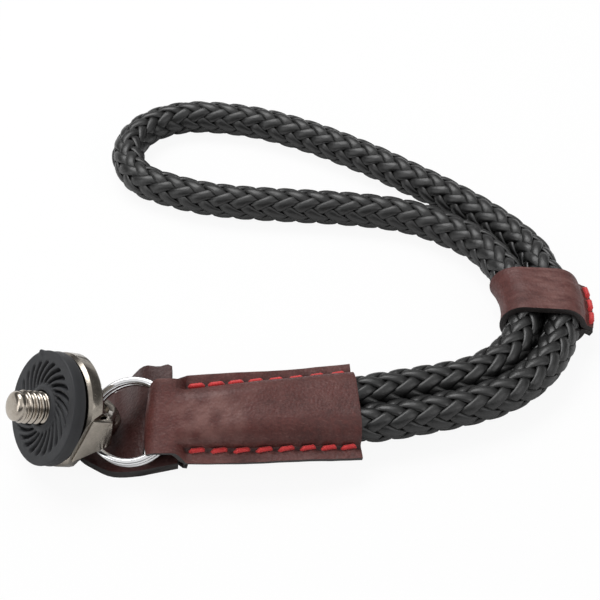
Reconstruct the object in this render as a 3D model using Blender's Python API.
"""Camera wrist strap: a threaded camera mount on a split ring, a stitched leather
sleeve folded through the ring, a leather pad under it, a keeper and a cord loop.

The layout is drawn in millimetres from a zero on the table in front of the strap.
LAYOUT_ZERO moves it so that the part's own zero lies under the middle of its
rigid and leather pieces. +Z is up and the sleeve runs along +X.
"""
import math

import bmesh
import bpy
from mathutils import Matrix, Vector

MM = 0.001
LAYOUT_ZERO = Vector((3.35, 218.05, 0.2))

CLEARANCE = 0.3

STUD_DIAMETER = 6.35
STUD_REACH = 6.6
STUD_ROOT_DEPTH = 2.4
STUD_TIP_RADIUS = 1.1

WASHER_DIAMETER = 22.0
WASHER_THICKNESS = 2.7
WASHER_EDGE = 0.5
WASHER_BORE_GAP = 0.3
GROOVE_COUNT = 24
GROOVE_INNER_RADIUS = 4.6
GROOVE_OUTER_RADIUS = 8.9
GROOVE_DEPTH = 0.7
GROOVE_SHARE = 0.42
GROOVE_SWEEP_DEG = 30.0

BASE_DIAMETER = 22.0
BASE_NECK_DIAMETER = 15.0
BASE_NECK_LENGTH = 0.5
BASE_FLANGE_THICKNESS = 3.4
BASE_FLANGE_EDGE = 0.6
WEDGE_LENGTH = 5.6
WEDGE_END_HALF_WIDTH = 6.4
WEDGE_END_HALF_HEIGHT = 2.9
WEDGE_ROOT_HALF_WIDTH = 8.6
WEDGE_ROOT_HALF_HEIGHT = 6.6
FLAT_FRONT_HALF_WIDTH = 9.9
EYE_RADIUS = 5.9
EYE_HOLE_RADIUS = 3.7
EYE_THICKNESS = 3.0
EYE_FROM_FLANGE = 4.0
EYE_SIDEWAYS = 0.8
EYE_HOLE_SHIFT = (1.2, 0.5)
EYE_HOLE_LEAN_DEG = 20.0
EYE_BELL_RADIUS = 5.0
EYE_BELL_DEPTH = 4.2
RING_RELIEF = 0.5

RING_OUTER_DIAMETER = 17.5
RING_WIRE_WIDTH = 1.4
RING_WIRE_THICKNESS = 1.15
RING_COIL_GAP = 0.2
RING_JOG_DEG = 40.0
RING_END_GAP_DEG = 8.0

LEATHER = 1.3
PAD_THICKNESS = 1.6
PAD_OUTLINE = [
    (-23.4, 190.6), (-29.0, 190.9), (-33.5, 191.2), (-37.0, 192.2), (-40.0, 194.0),
    (-42.6, 196.0), (-44.0, 198.8), (-44.2, 202.0), (-42.6, 205.6), (-39.5, 208.8),
    (-36.0, 211.0), (-32.0, 212.2), (-29.4, 212.2), (-26.6, 211.4), (-25.2, 210.6),
]
PAD_TONGUE = [(-25.0, 205.4), (-23.7, 205.4), (-23.3, 191.8), (-23.4, 191.8)]
PAD_NEAR_SIDE = 190.0
PAD_WIDTH = 25.0
PAD_HELD_HEIGHT = 2.7
PAD_HELD_SLOPE = 0.404
PAD_HELD_FROM = 191.5
PAD_RISE_START = -37.5
PAD_RISE_END = -29.0
PAD_SLOT_HALF = 5.9
PAD_SLOT_WIDTH = 4.6
PAD_SLOT_SHIFT = (-0.9, 0.8)

SLEEVE_LENGTH = 39.6
SLEEVE_SEAM_HALF = 8.6
SLEEVE_SEAM_HALF_AT_NECK = 7.0
SLEEVE_FLANGE_BEYOND_SEAM = 2.4
SEAM_FROM_FORM = 0.95
NECK_HALF_WIDTH = 4.7
NECK_HALF_WIDTH_AT_SLEEVE = 6.9
NECK_LENGTH = 5.6
NECK_END = 7.3
FOLD_DEPTH = 1.9
FIRST_STITCH = 8.4
LAST_STITCH_FROM_MOUTH = 0.9
STITCH_COUNT = 8
STITCH_HOLE_DIAMETER = 1.9

THREAD_RADIUS = 0.42
THREAD_RADIUS_IN_HOLE = 0.24
THREAD_SIDE_STEP = 0.36

CORD_DIAMETER = 7.2
CORD_PAIR_SPACING = 7.6
CORD_PRESSED_DIAMETER = 6.2
CORD_PRESSED_SPACING = 6.6
CORD_SEATED = 14.0
CORD_POINTS = 74

KEEPER_LENGTH = 14.5
KEEPER_FLANGE = 2.8
KEEPER_CLEARANCE = 0.5
KEEPER_STITCHES = 3
KEEPER_STITCH_PITCH = 4.4
KEEPER_SEAM_FROM_EDGE = 1.3

RING_CENTRE = Vector((-32.3, 198.3, 9.0))
RING_NORMAL = Vector((-0.18, -0.47, 0.865)).normalized()
FOLD_LINE = Vector((0.053, 0.874, 0.483))
FOLD_FROM_RING_CENTRE = 4.2
STRAP_OFFSET_AT_FOLD = 0.3

MOUTH_CENTRE = Vector((10.74, 203.75, 6.6))
MOUTH_DIRECTION = Vector((0.978, 0.19, -0.08)).normalized()
MOUTH_ROLL_DEG = 10.0

STUD_DIRECTION = Vector((-0.741, -0.421, 0.523)).normalized()
WASHER_FACE_CENTRE = Vector((-49.0, 198.0, 13.15))
EYE_UP = Vector((0.464, 0.230, 0.857))

BEND_CENTRE = Vector((25.3, 234.6, 5.6))
BEND_RADIUS = 26.0
KEEPER_BEARING_DEG = 5.0

CORD_ROUTE = [
    (-1.4, 197.7, 7.6), (4.9, 199.2, 6.8), (11.3, 200.5, 6.0), (21.4, 202.6, 5.7),
    (34.5, 206.3, 5.6), (42.0, 209.9, 5.6), (48.1, 215.4, 5.6), (52.5, 222.5, 5.6),
    (54.8, 230.5, 5.6), (54.8, 238.7, 5.6), (52.5, 246.7, 5.6), (51.6, 252.2, 4.9),
    (48.0, 259.3, 4.0), (42.4, 266.6, 3.7), (34.6, 274.2, 3.7), (25.6, 281.6, 3.7),
    (16.3, 288.9, 3.7), (2.2, 298.0, 3.7), (-12.3, 304.3, 3.7), (-27.4, 306.2, 3.7),
    (-37.4, 301.4, 3.7), (-41.2, 291.8, 3.7), (-38.0, 282.0, 3.7), (-29.6, 276.6, 3.7),
    (-16.2, 272.6, 3.7), (11.5, 269.8, 3.7), (25.1, 266.8, 3.7),
    (34.3, 261.4, 3.8), (41.0, 254.4, 4.6), (45.6, 243.6, 5.6), (47.3, 237.7, 5.6),
    (47.3, 231.5, 5.6), (45.6, 225.6, 5.6), (42.3, 220.3, 5.6), (37.7, 216.2, 5.6),
    (32.2, 213.5, 5.6), (18.6, 209.6, 6.3), (10.2, 207.0, 7.2), (3.6, 205.5, 7.9),
    (-2.7, 204.0, 8.9),
]


def remove_everything():
    """Empty the scene, so that the script can be run again."""
    for item in list(bpy.data.objects):
        bpy.data.objects.remove(item, do_unlink=True)


def to_part(point):
    """A layout point in millimetres, as a point of the part in metres."""
    return (Vector(point) - LAYOUT_ZERO) * MM


def smooth_step(start, end, value):
    """A smooth 0 to 1 as value goes from start to end."""
    share = min(1.0, max(0.0, (value - start) / (end - start)))
    return share * share * (3.0 - 2.0 * share)


def make_material(name, colour, roughness, metallic):
    """A plain finish."""
    material = bpy.data.materials.new(name)
    material.use_nodes = True
    shader = material.node_tree.nodes["Principled BSDF"]
    shader.inputs["Base Color"].default_value = (*colour, 1.0)
    shader.inputs["Roughness"].default_value = roughness
    shader.inputs["Metallic"].default_value = metallic
    material.diffuse_color = (*colour, 1.0)
    return material


def finish_object(name, mesh_data, material, sharp_angle=35.0):
    """Turn a bmesh into a named, shaded object."""
    bmesh.ops.remove_doubles(mesh_data, verts=mesh_data.verts, dist=1e-7)
    bmesh.ops.recalc_face_normals(mesh_data, faces=mesh_data.faces)
    mesh = bpy.data.meshes.new(name)
    mesh_data.to_mesh(mesh)
    mesh_data.free()
    mesh.shade_smooth()
    mesh.set_sharp_from_angle(angle=math.radians(sharp_angle))
    thing = bpy.data.objects.new(name, mesh)
    thing.data.materials.append(material)
    bpy.context.scene.collection.objects.link(thing)
    return thing


def cut(thing, cutter, name):
    """Subtract a cutter that stays hidden."""
    cutter.hide_render = True
    cutter.display_type = "WIRE"
    step = thing.modifiers.new(name, "BOOLEAN")
    step.operation = "DIFFERENCE"
    step.solver = "EXACT"
    step.object = cutter


def join_to(thing, other, name):
    """Unite with a helper body that stays hidden."""
    other.hide_render = True
    other.display_type = "WIRE"
    step = thing.modifiers.new(name, "BOOLEAN")
    step.operation = "UNION"
    step.solver = "EXACT"
    step.object = other


def frame_matrix(origin, x_axis, y_axis, z_axis):
    """A placement in the part from a layout origin and three axes."""
    turn = Matrix((x_axis, y_axis, z_axis)).transposed().to_4x4()
    return Matrix.Translation(to_part(origin)) @ turn


def turned_profile(profile, segments):
    """Revolve (radius, height) points in millimetres about Z into a closed body."""
    body = bmesh.new()
    rings = []
    for radius, height in profile:
        if radius < 1e-6:
            rings.append([body.verts.new((0.0, 0.0, height * MM))])
            continue
        ring = []
        for step in range(segments):
            turn = 2.0 * math.pi * step / segments
            ring.append(body.verts.new(
                (radius * math.cos(turn) * MM, radius * math.sin(turn) * MM, height * MM)))
        rings.append(ring)
    for lower, upper in zip(rings, rings[1:]):
        for step in range(segments):
            after = (step + 1) % segments
            if len(lower) == 1:
                body.faces.new((lower[0], upper[after], upper[step]))
            elif len(upper) == 1:
                body.faces.new((lower[step], lower[after], upper[0]))
            else:
                body.faces.new((lower[step], lower[after], upper[after], upper[step]))
    return body


def thick_sheet(grid, thickness):
    """A closed sheet of even thickness about a grid of mid-surface points (metres)."""
    rows = len(grid)
    columns = len(grid[0])
    body = bmesh.new()
    sides = ([], [])
    for i in range(rows):
        upper_row = []
        lower_row = []
        for j in range(columns):
            along = grid[min(i + 1, rows - 1)][j] - grid[max(i - 1, 0)][j]
            across = grid[i][min(j + 1, columns - 1)] - grid[i][max(j - 1, 0)]
            normal = along.cross(across).normalized() * (thickness * MM / 2.0)
            upper_row.append(body.verts.new(grid[i][j] + normal))
            lower_row.append(body.verts.new(grid[i][j] - normal))
        sides[0].append(upper_row)
        sides[1].append(lower_row)
    upper, lower = sides
    for i in range(rows - 1):
        for j in range(columns - 1):
            body.faces.new((upper[i][j], upper[i + 1][j], upper[i + 1][j + 1], upper[i][j + 1]))
            body.faces.new((lower[i][j], lower[i][j + 1], lower[i + 1][j + 1], lower[i + 1][j]))
    for i in range(rows - 1):
        for j in (0, columns - 1):
            body.faces.new((upper[i][j], lower[i][j], lower[i + 1][j], upper[i + 1][j]))
    for j in range(columns - 1):
        for i in (0, rows - 1):
            body.faces.new((upper[i][j], upper[i][j + 1], lower[i][j + 1], lower[i][j]))
    return body


def smooth_path(points, steps):
    """Points of a smooth curve through the given ones."""
    known = [Vector(point) for point in points]
    padded = [2 * known[0] - known[1]] + known + [2 * known[-1] - known[-2]]
    path = []
    for before, start, end, after in zip(padded, padded[1:], padded[2:], padded[3:]):
        for step in range(steps):
            t = step / steps
            path.append(0.5 * (2 * start + (end - before) * t
                               + (2 * before - 5 * start + 4 * end - after) * t * t
                               + (3 * start - before - 3 * end + after) * t ** 3))
    path.append(known[-1])
    return path


def even_path(points, count):
    """The same path with its points at even distances."""
    lengths = [0.0]
    for start, end in zip(points, points[1:]):
        lengths.append(lengths[-1] + (end - start).length)
    result = []
    at = 0
    for step in range(count):
        wanted = lengths[-1] * step / (count - 1)
        while at < len(points) - 2 and lengths[at + 1] < wanted:
            at += 1
        share = (wanted - lengths[at]) / (lengths[at + 1] - lengths[at])
        result.append(points[at].lerp(points[at + 1], share))
    return result


def tube(name, points, radius, material, resolution, radii=None):
    """A round tube with filled ends through points of the part."""
    data = bpy.data.curves.new(name, "CURVE")
    data.dimensions = "3D"
    data.bevel_depth = radius * MM
    data.bevel_resolution = resolution
    data.use_fill_caps = True
    line = data.splines.new("POLY")
    line.points.add(len(points) - 1)
    for index, point in enumerate(points):
        line.points[index].co = (*point, 1.0)
        line.points[index].radius = radii[index] if radii else 1.0
    thing = bpy.data.objects.new(name, data)
    thing.data.materials.append(material)
    bpy.context.scene.collection.objects.link(thing)
    return thing


def ring_axes():
    """The split ring's axes: toward the sleeve, along the fold, and its normal."""
    normal = RING_NORMAL
    across = (FOLD_LINE - normal * FOLD_LINE.dot(normal)).normalized()
    return across.cross(normal), across, normal


def mount_axes():
    """The mount's axes: along the eye's hole turned sideways, the hole, and the stud."""
    hole = (EYE_UP - STUD_DIRECTION * EYE_UP.dot(STUD_DIRECTION)).normalized()
    side = hole.cross(STUD_DIRECTION)
    return side, hole, STUD_DIRECTION


def mount_frame():
    """Placement of the mount, zero on the washer's face and +Z along the stud."""
    return frame_matrix(WASHER_FACE_CENTRE, *mount_axes())


def base_front():
    """Height of the base's front face below the washer's face."""
    return -(WASHER_THICKNESS + CLEARANCE)


def make_stud(material):
    """The threaded stud, plain here, seated in the base's blind bore."""
    radius = STUD_DIAMETER / 2.0
    foot = base_front() - STUD_ROOT_DEPTH
    profile = [(0.0, foot), (radius - 0.4, foot), (radius, foot + 0.4), (radius, STUD_REACH - STUD_TIP_RADIUS)]
    for step in range(1, 5):
        turn = math.radians(90.0 * step / 4)
        profile.append((radius - STUD_TIP_RADIUS * (1.0 - math.cos(turn)),
                        STUD_REACH - STUD_TIP_RADIUS * (1.0 - math.sin(turn))))
    profile.append((0.0, STUD_REACH))
    stud = finish_object("stud", turned_profile(profile, 28), material)
    stud.matrix_world = mount_frame()
    return stud


def groove_turns():
    """Angles of the edges of the washer's ridges, once round: each start and each end."""
    pitch = 2.0 * math.pi / GROOVE_COUNT
    return [turn for index in range(GROOVE_COUNT)
            for turn in (index * pitch, (index + 1.0 - GROOVE_SHARE) * pitch)]


def make_washer(material):
    """The rubber washer with swirling grooves in its face."""
    outer = WASHER_DIAMETER / 2.0
    bore = STUD_DIAMETER / 2.0 + WASHER_BORE_GAP
    back = -WASHER_THICKNESS
    turns = groove_turns()
    body = bmesh.new()

    def plain_ring(radius, height, swirl):
        return [body.verts.new((radius * math.cos(turn + swirl) * MM, radius * math.sin(turn + swirl) * MM,
                                height * MM)) for turn in turns]

    def swirl_at(radius):
        share = (radius - GROOVE_INNER_RADIUS) / (GROOVE_OUTER_RADIUS - GROOVE_INNER_RADIUS)
        return -math.radians(GROOVE_SWEEP_DEG) * share

    def bridge(first, second):
        count = len(first)
        for index in range(count):
            after = (index + 1) % count
            body.faces.new((first[index], first[after], second[after], second[index]))

    steps = 4
    radii = [GROOVE_INNER_RADIUS + (GROOVE_OUTER_RADIUS - GROOVE_INNER_RADIUS) * k / steps
             for k in range(steps + 1)]
    tops = [plain_ring(radius, 0.0, swirl_at(radius)) for radius in radii]
    floors = [plain_ring(radius, -GROOVE_DEPTH, swirl_at(radius)) for radius in radii]
    count = len(tops[0])
    for k in range(steps):
        for index in range(count):
            after = (index + 1) % count
            level = tops if index % 2 == 0 else floors
            body.faces.new((level[k][index], level[k + 1][index], level[k + 1][after], level[k][after]))
            if index % 2 == 1:
                body.faces.new((tops[k][index], tops[k + 1][index], floors[k + 1][index], floors[k][index]))
                body.faces.new((tops[k + 1][after], tops[k][after], floors[k][after], floors[k + 1][after]))
    for index in range(1, count, 2):
        after = (index + 1) % count
        body.faces.new((tops[0][after], tops[0][index], floors[0][index], floors[0][after]))
        body.faces.new((tops[-1][index], tops[-1][after], floors[-1][after], floors[-1][index]))
    inner = swirl_at(GROOVE_INNER_RADIUS)
    far = swirl_at(GROOVE_OUTER_RADIUS)
    hole_top = plain_ring(bore, 0.0, inner)
    hole_back = plain_ring(bore, back, inner)
    rim = [plain_ring(outer - WASHER_EDGE, 0.0, far), plain_ring(outer, -WASHER_EDGE, far),
           plain_ring(outer, back + WASHER_EDGE, far), plain_ring(outer - WASHER_EDGE, back, far)]
    bridge(tops[0], hole_top)
    bridge(hole_top, hole_back)
    bridge(rim[0], tops[-1])
    for first, second in zip(rim[1:], rim):
        bridge(first, second)
    bridge(hole_back, rim[-1])
    washer = finish_object("washer", body, material)
    washer.matrix_world = mount_frame()
    return washer


def tapered_block(corners_front, corners_back):
    """A block between two rectangles given as (half width, half height, height)."""
    body = bmesh.new()
    ends = []
    for width, height, level in (corners_front, corners_back):
        ends.append([body.verts.new((x * width * MM, y * height * MM, level * MM))
                     for x, y in ((-1, -1), (1, -1), (1, 1), (-1, 1))])
    body.faces.new(ends[0])
    body.faces.new(ends[1])
    for index in range(4):
        after = (index + 1) % 4
        body.faces.new((ends[0][index], ends[0][after], ends[1][after], ends[1][index]))
    return body


def make_base(material):
    """The cast base: a round flange with two flats, a wedge and an eye."""
    front = base_front()
    neck_back = front - BASE_NECK_LENGTH
    back = neck_back - BASE_FLANGE_THICKNESS
    outer = BASE_DIAMETER / 2.0
    bore = STUD_DIAMETER / 2.0 + CLEARANCE
    bore_floor = front - STUD_ROOT_DEPTH - CLEARANCE
    edge = BASE_FLANGE_EDGE
    profile = [(0.0, back), (outer - edge, back), (outer, back + edge), (outer, neck_back - edge),
               (outer - edge, neck_back), (BASE_NECK_DIAMETER / 2.0, neck_back),
               (BASE_NECK_DIAMETER / 2.0, front), (0.0, front)]
    base = finish_object("mount_base", turned_profile(profile, 48), material)
    base.matrix_world = mount_frame()

    wedge_end = back - WEDGE_LENGTH
    sunk = 0.8
    wedge = finish_object("wedge_form", tapered_block(
        (WEDGE_ROOT_HALF_WIDTH, WEDGE_ROOT_HALF_HEIGHT, back + sunk),
        (WEDGE_END_HALF_WIDTH, WEDGE_END_HALF_HEIGHT, wedge_end)), material)
    wedge.matrix_world = mount_frame()
    join_to(base, wedge, "wedge")

    eye_centre = back - EYE_FROM_FLANGE
    lug_mesh = turned_profile([(0.0, -EYE_THICKNESS / 2.0), (EYE_RADIUS - 0.5, -EYE_THICKNESS / 2.0),
                               (EYE_RADIUS, -EYE_THICKNESS / 2.0 + 0.5), (EYE_RADIUS, EYE_THICKNESS / 2.0 - 0.5),
                               (EYE_RADIUS - 0.5, EYE_THICKNESS / 2.0), (0.0, EYE_THICKNESS / 2.0)], 40)
    side, hole, along = mount_axes()
    eye_point = WASHER_FACE_CENTRE + along * eye_centre + side * EYE_SIDEWAYS
    eye_frame = frame_matrix(eye_point, side, -along, hole)
    lug = finish_object("eye_form", lug_mesh, material)
    lug.matrix_world = eye_frame
    join_to(base, lug, "eye")

    reach = WEDGE_ROOT_HALF_HEIGHT
    throat = EYE_THICKNESS / 2.0 - 0.7
    eye_hole = finish_object("eye_hole", turned_profile(
        [(0.0, -reach), (EYE_BELL_RADIUS, -reach), (EYE_BELL_RADIUS, -EYE_BELL_DEPTH),
         (EYE_HOLE_RADIUS, -throat), (EYE_HOLE_RADIUS, throat), (EYE_BELL_RADIUS, EYE_BELL_DEPTH),
         (EYE_BELL_RADIUS, reach), (0.0, reach)], 32), material)
    lean = math.radians(EYE_HOLE_LEAN_DEG)
    tilted = hole * math.cos(lean) - side * math.sin(lean)
    tilted_side = side * math.cos(lean) + hole * math.sin(lean)
    eye_hole.matrix_world = frame_matrix(eye_point + side * EYE_HOLE_SHIFT[0] + along * EYE_HOLE_SHIFT[1],
                                         tilted_side, -along, tilted)
    cut(base, eye_hole, "eye hole")

    inside = RING_OUTER_DIAMETER / 2.0 - RING_WIRE_WIDTH - RING_RELIEF
    outside = RING_OUTER_DIAMETER / 2.0 + RING_RELIEF
    deep = RING_WIRE_THICKNESS + RING_COIL_GAP / 2.0 + RING_RELIEF
    relief = finish_object("ring_relief", turned_profile(
        [(inside, -deep), (outside, -deep), (outside, deep), (inside, deep), (inside, -deep)], 64), material)
    relief.matrix_world = frame_matrix(RING_CENTRE, *ring_axes())
    cut(base, relief, "ring relief")

    bore_form = finish_object("stud_bore", turned_profile(
        [(0.0, bore_floor), (bore, bore_floor), (bore, front + 1.0), (0.0, front + 1.0)], 28), material)
    bore_form.matrix_world = mount_frame()
    cut(base, bore_form, "stud bore")

    slope = (FLAT_FRONT_HALF_WIDTH - WEDGE_END_HALF_WIDTH) / (neck_back - wedge_end)
    for direction in (-1, 1):
        block = bmesh.new()
        levels = (neck_back + 1.0, wedge_end - 12.0)
        wall = [direction * (FLAT_FRONT_HALF_WIDTH + slope * (level - neck_back)) for level in levels]
        far = direction * (outer + 4.0)
        ends = []
        for height in (-outer - 2.0, outer + 2.0):
            ends.append([block.verts.new((x * MM, height * MM, z * MM)) for x, z in (
                (wall[0], levels[0]), (wall[1], levels[1]), (far, levels[1]), (far, levels[0]))])
        block.faces.new(ends[0])
        block.faces.new(ends[1])
        for index in range(4):
            after = (index + 1) % 4
            block.faces.new((ends[0][index], ends[0][after], ends[1][after], ends[1][index]))
        flat = finish_object(f"flat_form_{direction + 1}", block, material)
        flat.matrix_world = mount_frame()
        cut(base, flat, f"flat {direction}")
    return base


def make_ring(material):
    """The split ring: flat wire wound twice, one coil stepping up to the next."""
    inner = RING_OUTER_DIAMETER / 2.0 - RING_WIRE_WIDTH
    outer = RING_OUTER_DIAMETER / 2.0
    half = RING_WIRE_THICKNESS / 2.0
    rise = RING_WIRE_THICKNESS + RING_COIL_GAP
    edge = 0.3
    section = [(outer, -half + edge), (outer, half - edge), (outer - edge, half), (inner + edge, half),
               (inner, half - edge), (inner, -half + edge), (inner + edge, -half), (outer - edge, -half)]
    jog = math.radians(RING_JOG_DEG)
    last = 4.0 * math.pi - jog - math.radians(RING_END_GAP_DEG)
    steps = 84
    body = bmesh.new()
    rings = []
    for step in range(steps + 1):
        turn = last * step / steps
        level = -rise / 2.0 + rise * smooth_step(2.0 * math.pi - jog, 2.0 * math.pi, turn)
        angle = turn + math.radians(60.0)
        rings.append([body.verts.new((radius * math.cos(angle) * MM, radius * math.sin(angle) * MM,
                                      (level + height) * MM)) for radius, height in section])
    for first, second in zip(rings, rings[1:]):
        for index in range(len(section)):
            after = (index + 1) % len(section)
            body.faces.new((first[index], first[after], second[after], second[index]))
    body.faces.new(rings[0])
    body.faces.new(rings[-1])
    ring = finish_object("split_ring", body, material)
    ring.matrix_world = frame_matrix(RING_CENTRE, *ring_axes())
    return ring


def strap_frame(along):
    """Centre, direction, sideways and up of the folded strap, along from its fold."""
    toward, across, normal = ring_axes()
    start = RING_CENTRE + toward * FOLD_FROM_RING_CENTRE + across * STRAP_OFFSET_AT_FOLD
    share = along / SLEEVE_LENGTH
    pull = SLEEVE_LENGTH
    t2 = share * share
    t3 = t2 * share
    centre = (start * (2 * t3 - 3 * t2 + 1) + toward * pull * (t3 - 2 * t2 + share)
              + MOUTH_CENTRE * (-2 * t3 + 3 * t2) + MOUTH_DIRECTION * pull * (t3 - t2))
    slope = (start * (6 * t2 - 6 * share) + toward * pull * (3 * t2 - 4 * share + 1)
             + MOUTH_CENTRE * (-6 * t2 + 6 * share) + MOUTH_DIRECTION * pull * (3 * t2 - 2 * share))
    direction = slope.normalized()
    roll = math.radians(MOUTH_ROLL_DEG)
    mouth_up = Vector((0.0, -math.sin(roll), math.cos(roll)))
    up = normal.lerp(mouth_up, smooth_step(0.1, 0.8, share))
    up = (up - direction * up.dot(direction)).normalized()
    return centre, direction, up.cross(direction), up


def sleeve_seam(along):
    """Distance of the seams from the middle of the sleeve."""
    share = smooth_step(NECK_LENGTH, NECK_LENGTH + 14.0, along)
    return SLEEVE_SEAM_HALF_AT_NECK + (SLEEVE_SEAM_HALF - SLEEVE_SEAM_HALF_AT_NECK) * share


def sleeve_half_width(along):
    """Half of the strip's width, narrow at the neck and wide along the sleeve."""
    neck = NECK_HALF_WIDTH + (NECK_HALF_WIDTH_AT_SLEEVE - NECK_HALF_WIDTH) * smooth_step(0.0, NECK_LENGTH, along)
    wide = sleeve_seam(along) + SLEEVE_FLANGE_BEYOND_SEAM
    return neck + (wide - neck) * smooth_step(NECK_LENGTH - 0.6, NECK_LENGTH + 1.8, along)


def cord_cover(sideways, middle, flange_start, reach):
    """Height of leather drawn tight over two cords and down to the flange."""
    flange = (LEATHER + CLEARANCE) / 2.0
    side = abs(sideways)
    if side <= middle:
        return reach
    if side >= flange_start:
        return flange
    away = flange_start - middle
    tangent = math.acos(min(1.0, reach / math.hypot(away, flange))) + math.atan2(flange, away)
    touch_side = middle + reach * math.cos(tangent)
    touch_up = reach * math.sin(tangent)
    if side <= touch_side:
        return math.sqrt(max(0.0, reach * reach - (side - middle) ** 2))
    return touch_up + (flange - touch_up) * (side - touch_side) / (flange_start - touch_side)


def sleeve_height(along, sideways):
    """Height of the upper leather's middle above the strap's middle plane."""
    flange = (LEATHER + CLEARANCE) / 2.0
    over_ring = RING_WIRE_THICKNESS + RING_COIL_GAP / 2.0 + CLEARANCE + 0.75 + LEATHER / 2.0
    reach = CORD_PRESSED_DIAMETER / 2.0 + CLEARANCE + 0.3 + LEATHER / 2.0
    flange_start = SLEEVE_SEAM_HALF - SEAM_FROM_FORM
    scale = (sleeve_seam(along) - SEAM_FROM_FORM) / flange_start
    full = cord_cover(sideways / scale, CORD_PRESSED_SPACING / 2.0, flange_start, reach)
    share = (over_ring - flange) / (reach - flange)
    grown = share + (1.0 - share) * smooth_step(NECK_LENGTH + 0.5, 17.0, along)
    closed = flange + (full - flange) * grown
    return over_ring + (closed - over_ring) * smooth_step(NECK_LENGTH - 1.6, NECK_LENGTH + 1.2, along)


def pad_height(x, y):
    """Height of the pad's middle over the table at a layout place."""
    held = PAD_HELD_HEIGHT + PAD_HELD_SLOPE * (y - PAD_HELD_FROM)
    flat = PAD_THICKNESS / 2.0 + 0.2
    return held + (flat - held) * smooth_step(PAD_RISE_END, PAD_RISE_START, x)


def strap_point(along, sideways, upper):
    """A point of the strip's middle surface, above or below the strap's middle."""
    centre, _, across, up = strap_frame(along)
    height = sleeve_height(along, sideways)
    point = centre + across * sideways + up * (height if upper else -height)
    if upper:
        return point
    under_pad = (PAD_THICKNESS + LEATHER) / 2.0 + CLEARANCE + 0.3
    flat_point = centre + across * sideways - up * height
    flat_point.z = pad_height(max(flat_point.x, PAD_RISE_END), flat_point.y) - under_pad
    return flat_point.lerp(point, smooth_step(NECK_LENGTH + 0.2, NECK_END, along))


def sleeve_columns(along):
    """Places across the strip: close-set rows over the cords, then the flange."""
    outer = sleeve_half_width(along)
    inner = min(sleeve_seam(along) - SEAM_FROM_FORM, 0.8 * outer)
    half = [inner * k / 8.0 for k in range(1, 9)] + [inner + (outer - inner) * k / 2.0 for k in (1, 2)]
    return [-side for side in reversed(half)] + [0.0] + half


def sleeve_grid():
    """Middle points of the strip: mouth, over the ring, round the fold, back below."""
    stations = [FOLD_DEPTH, 3.2, 4.6, 5.8, 6.7]
    steps = 11
    stations += [NECK_END + (SLEEVE_LENGTH - NECK_END) * k / steps for k in range(steps + 1)]
    grid = []
    for along in reversed(stations):
        grid.append([to_part(strap_point(along, side, True)) for side in sleeve_columns(along)])
    fold_steps = 7
    for step in range(1, fold_steps):
        turn = math.pi * step / fold_steps
        row = []
        for side in sleeve_columns(FOLD_DEPTH):
            narrow = side * NECK_HALF_WIDTH / sleeve_half_width(FOLD_DEPTH)
            side += (narrow - side) * math.sin(turn)
            top = strap_point(FOLD_DEPTH, side, True)
            low = strap_point(FOLD_DEPTH, side, False)
            _, direction, _, _ = strap_frame(FOLD_DEPTH)
            middle = (top + low) / 2.0
            row.append(to_part(middle + (top - low) / 2.0 * math.cos(turn)
                               - direction * FOLD_DEPTH * math.sin(turn)))
        grid.append(row)
    for along in stations:
        grid.append([to_part(strap_point(along, side, False)) for side in sleeve_columns(along)])
    return grid


def stitch_places():
    """Distances along the sleeve of the stitch holes."""
    last = SLEEVE_LENGTH - LAST_STITCH_FROM_MOUTH
    return [FIRST_STITCH + (last - FIRST_STITCH) * k / STITCH_COUNT for k in range(STITCH_COUNT + 1)]


def hole_cutter(name, holes, material):
    """Round pins that cut the stitch holes, each given by a centre and an axis."""
    body = bmesh.new()
    length = 6.0 * MM
    for centre, axis in holes:
        turn = Vector((0.0, 0.0, 1.0)).rotation_difference(axis).to_matrix().to_4x4()
        bmesh.ops.create_cone(body, cap_ends=True, segments=8, radius1=STITCH_HOLE_DIAMETER / 2.0 * MM,
                              radius2=STITCH_HOLE_DIAMETER / 2.0 * MM, depth=length,
                              matrix=Matrix.Translation(centre) @ turn)
    return finish_object(name, body, material)


def sleeve_seam_holes(direction):
    """Centres, axes and seam directions of one seam's holes."""
    holes = []
    for along in stitch_places():
        centre, forward, across, up = strap_frame(along)
        holes.append((to_part(centre + across * direction * sleeve_seam(along)), up, forward, across))
    return holes


def make_sleeve(material):
    """The leather sleeve: one strip folded through the ring and stitched to itself."""
    sleeve = finish_object("sleeve", thick_sheet(sleeve_grid(), LEATHER), material, 50.0)
    for direction, name in ((-1, "near"), (1, "far")):
        holes = [(centre, axis) for centre, axis, _, _ in sleeve_seam_holes(direction)]
        cut(sleeve, hole_cutter(f"{name}_seam_holes", holes, material), f"{name} seam holes")
    return sleeve


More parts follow.
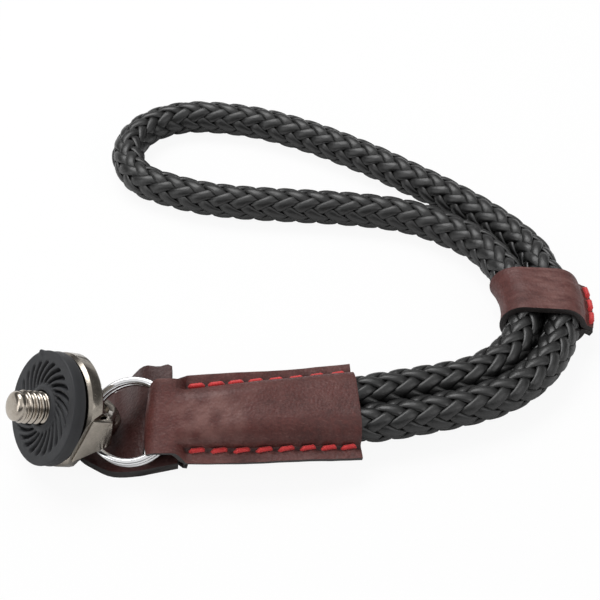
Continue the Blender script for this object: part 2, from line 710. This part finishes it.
def saddle_stitch(name, holes, half_stack, material):
    """One thread sewn out and back through a row of holes, so each face shows every stitch."""
    face = half_stack + CLEARANCE + THREAD_RADIUS
    points = []
    radii = []
    thin = THREAD_RADIUS_IN_HOLE / THREAD_RADIUS

    def add(hole, sideways, up, forward, size):
        centre, axis, ahead, across = hole
        points.append(centre + (across * sideways + axis * up + ahead * forward) * MM)
        radii.append(size)

    last = len(holes) - 1
    bend = 0.75
    for index in range(last + 1):
        side = 1.0 if index % 2 == 0 else -1.0
        if index > 0:
            add(holes[index], 0.0, -side * face, -bend, 1.0)
        add(holes[index], THREAD_SIDE_STEP, -side * half_stack * (0.4 if index == 0 else 1.0), 0.0, thin)
        add(holes[index], THREAD_SIDE_STEP, side * half_stack, 0.0, thin)
        if index < last:
            add(holes[index], 0.0, side * face, bend, 1.0)
    add(holes[last], 0.0, (1.0 if last % 2 == 0 else -1.0) * face, 0.0, 0.8)
    for index in range(last - 1, -1, -1):
        side = 1.0 if index % 2 == 0 else -1.0
        add(holes[index], 0.0, -side * face, bend, 1.0)
        add(holes[index], -THREAD_SIDE_STEP, -side * half_stack, 0.0, thin)
        add(holes[index], -THREAD_SIDE_STEP, side * half_stack * (0.4 if index == 0 else 1.0), 0.0, thin)
        if index > 0:
            add(holes[index], 0.0, side * face, -bend, 1.0)
    return tube(name, points, THREAD_RADIUS, material, 1, radii)


def make_sleeve_threads(material):
    """The two seams of the sleeve."""
    half_stack = LEATHER + CLEARANCE / 2.0
    return [saddle_stitch(f"{name}_seam_thread", sleeve_seam_holes(direction), half_stack, material)
            for direction, name in ((-1, "near"), (1, "far"))]


def make_pad(material):
    """The leather shield under the ring, with the slot that the strap passes through."""
    line = [point.to_2d() for point in smooth_path([(x, y, 0.0) for x, y in PAD_OUTLINE], 3)]
    line += [Vector(point) for point in PAD_TONGUE]
    body = bmesh.new()
    outline = [body.verts.new((point.x, point.y, 0.0)) for point in line]
    body.faces.new(outline)
    low = min(point.x for point in line) - 1.0
    high = max(point.x for point in line) + 1.0
    for step in range(1, 12):
        cut_x = low + (high - low) * step / 12.0
        bmesh.ops.bisect_plane(body, geom=body.verts[:] + body.edges[:] + body.faces[:], dist=1e-5,
                               plane_co=(cut_x, 0, 0), plane_no=(1, 0, 0))
    for step in range(1, 5):
        cut_y = PAD_NEAR_SIDE + PAD_WIDTH * step / 5.0
        bmesh.ops.bisect_plane(body, geom=body.verts[:] + body.edges[:] + body.faces[:], dist=1e-5,
                               plane_co=(0, cut_y, 0), plane_no=(0, 1, 0))
    bmesh.ops.triangulate(body, faces=body.faces)
    below = bmesh.ops.duplicate(body, geom=body.verts[:] + body.edges[:] + body.faces[:])
    lower = {item for item in below["geom"] if isinstance(item, bmesh.types.BMVert)}
    edges = [edge for edge in body.edges if edge.is_boundary]
    for vert in body.verts:
        side = -0.5 if vert in lower else 0.5
        height = pad_height(vert.co.x, vert.co.y) + side * PAD_THICKNESS
        vert.co = to_part((vert.co.x, vert.co.y, height))
    bmesh.ops.bridge_loops(body, edges=edges)
    pad = finish_object("pad", body, material, 50.0)

    centre, direction, across, up = strap_frame(1.6)
    flat_direction = Vector((direction.x, direction.y, 0.0)).normalized()
    flat_across = Vector((-flat_direction.y, flat_direction.x, 0.0))
    slot = finish_object("pad_slot", tapered_block(
        (PAD_SLOT_WIDTH / 2.0, PAD_SLOT_HALF, -20.0), (PAD_SLOT_WIDTH / 2.0, PAD_SLOT_HALF, 20.0)), material)
    slot.matrix_world = frame_matrix(centre + flat_direction * PAD_SLOT_SHIFT[0]
                                     + flat_across * PAD_SLOT_SHIFT[1], flat_direction, flat_across,
                                     Vector((0.0, 0.0, 1.0)))
    cut(pad, slot, "slot")
    return pad


def keeper_frame(along):
    """Centre, direction, outward and up of the keeper, along the bend from its middle."""
    bearing = math.radians(KEEPER_BEARING_DEG) + along / BEND_RADIUS
    outward = Vector((math.cos(bearing), math.sin(bearing), 0.0))
    centre = BEND_CENTRE + outward * BEND_RADIUS
    return centre, Vector((-outward.y, outward.x, 0.0)), outward, Vector((0.0, 0.0, 1.0))


def keeper_reach():
    """Distance from a cord's middle to the middle of the leather round it."""
    return CORD_DIAMETER / 2.0 + KEEPER_CLEARANCE + LEATHER / 2.0


def keeper_flange_start():
    """Where the keeper's two layers meet, outward from its middle."""
    return CORD_PAIR_SPACING / 2.0 + keeper_reach() + 0.1


def keeper_section():
    """The keeper's middle line as (outward, up): flange, over the cords, under, flange."""
    flange = (LEATHER + CLEARANCE) / 2.0
    reach = keeper_reach()
    start = keeper_flange_start()
    tip = start + KEEPER_FLANGE
    half = [(tip, flange), (tip - KEEPER_FLANGE / 2.0, flange), (start, flange)]
    for step in range(1, 6):
        side = start + (0.0 - start) * step / 5.0
        half.append((side, cord_cover(side, CORD_PAIR_SPACING / 2.0, start, reach)))
    left = -CORD_PAIR_SPACING / 2.0
    half.append((left, reach))
    curl = 6
    round_side = [(left - reach * math.sin(math.pi * k / curl), reach * math.cos(math.pi * k / curl))
                  for k in range(1, curl)]
    return half + round_side + [(side, -up) for side, up in reversed(half)]


def keeper_stitch_holes():
    """Centres and axes of the keeper's stitch holes."""
    seam = keeper_flange_start() + KEEPER_FLANGE - KEEPER_SEAM_FROM_EDGE
    holes = []
    for index in range(KEEPER_STITCHES + 1):
        along = (index - KEEPER_STITCHES / 2.0) * KEEPER_STITCH_PITCH
        centre, direction, outward, up = keeper_frame(along)
        holes.append((to_part(centre + outward * seam), up, direction, outward))
    return holes


def make_keeper(material):
    """The sliding leather keeper: one strip round both cords, stitched at the outside."""
    section = keeper_section()
    rows = 7
    grid = []
    for index in range(rows):
        along = KEEPER_LENGTH * (index / (rows - 1) - 0.5)
        centre, _, outward, up = keeper_frame(along)
        grid.append([to_part(centre + outward * side + up * height) for side, height in section])
    keeper = finish_object("keeper", thick_sheet(grid, LEATHER), material, 50.0)
    holes = [(centre, axis) for centre, axis, _, _ in keeper_stitch_holes()]
    cut(keeper, hole_cutter("keeper_seam_holes", holes, material), "seam holes")
    return keeper


def make_keeper_thread(material):
    """The keeper's short seam."""
    return saddle_stitch("keeper_thread", keeper_stitch_holes(), LEATHER + CLEARANCE / 2.0, material)


def make_cord(material):
    """The braided cord, plain here: one length folded in half, both ends in the sleeve."""
    path = even_path(smooth_path(CORD_ROUTE, 8), CORD_POINTS)
    step = (path[1] - path[0]).length
    pressed = CORD_PRESSED_DIAMETER / CORD_DIAMETER
    radii = []
    for index in range(CORD_POINTS):
        inside = step * min(index, CORD_POINTS - 1 - index)
        radii.append(pressed + (1.0 - pressed) * smooth_step(CORD_SEATED, CORD_SEATED + 5.0, inside))
    return tube("cord", [to_part(point) for point in path], CORD_DIAMETER / 2.0, material, 3, radii)


def main():
    """Build every piece of the strap."""
    remove_everything()
    leather = make_material("brown_leather", (0.10, 0.04, 0.035), 0.5, 0.0)
    thread = make_material("red_thread", (0.6, 0.02, 0.02), 0.6, 0.0)
    braid = make_material("black_braid", (0.02, 0.02, 0.02), 0.4, 0.0)
    rubber = make_material("black_rubber", (0.05, 0.05, 0.055), 0.6, 0.0)
    nickel = make_material("dark_nickel", (0.42, 0.38, 0.33), 0.3, 1.0)
    chrome = make_material("chrome", (0.8, 0.8, 0.8), 0.1, 1.0)
    make_stud(nickel)
    make_washer(rubber)
    make_base(nickel)
    make_ring(chrome)
    make_sleeve(leather)
    make_sleeve_threads(thread)
    make_pad(leather)
    make_keeper(leather)
    make_keeper_thread(thread)
    make_cord(braid)


main()
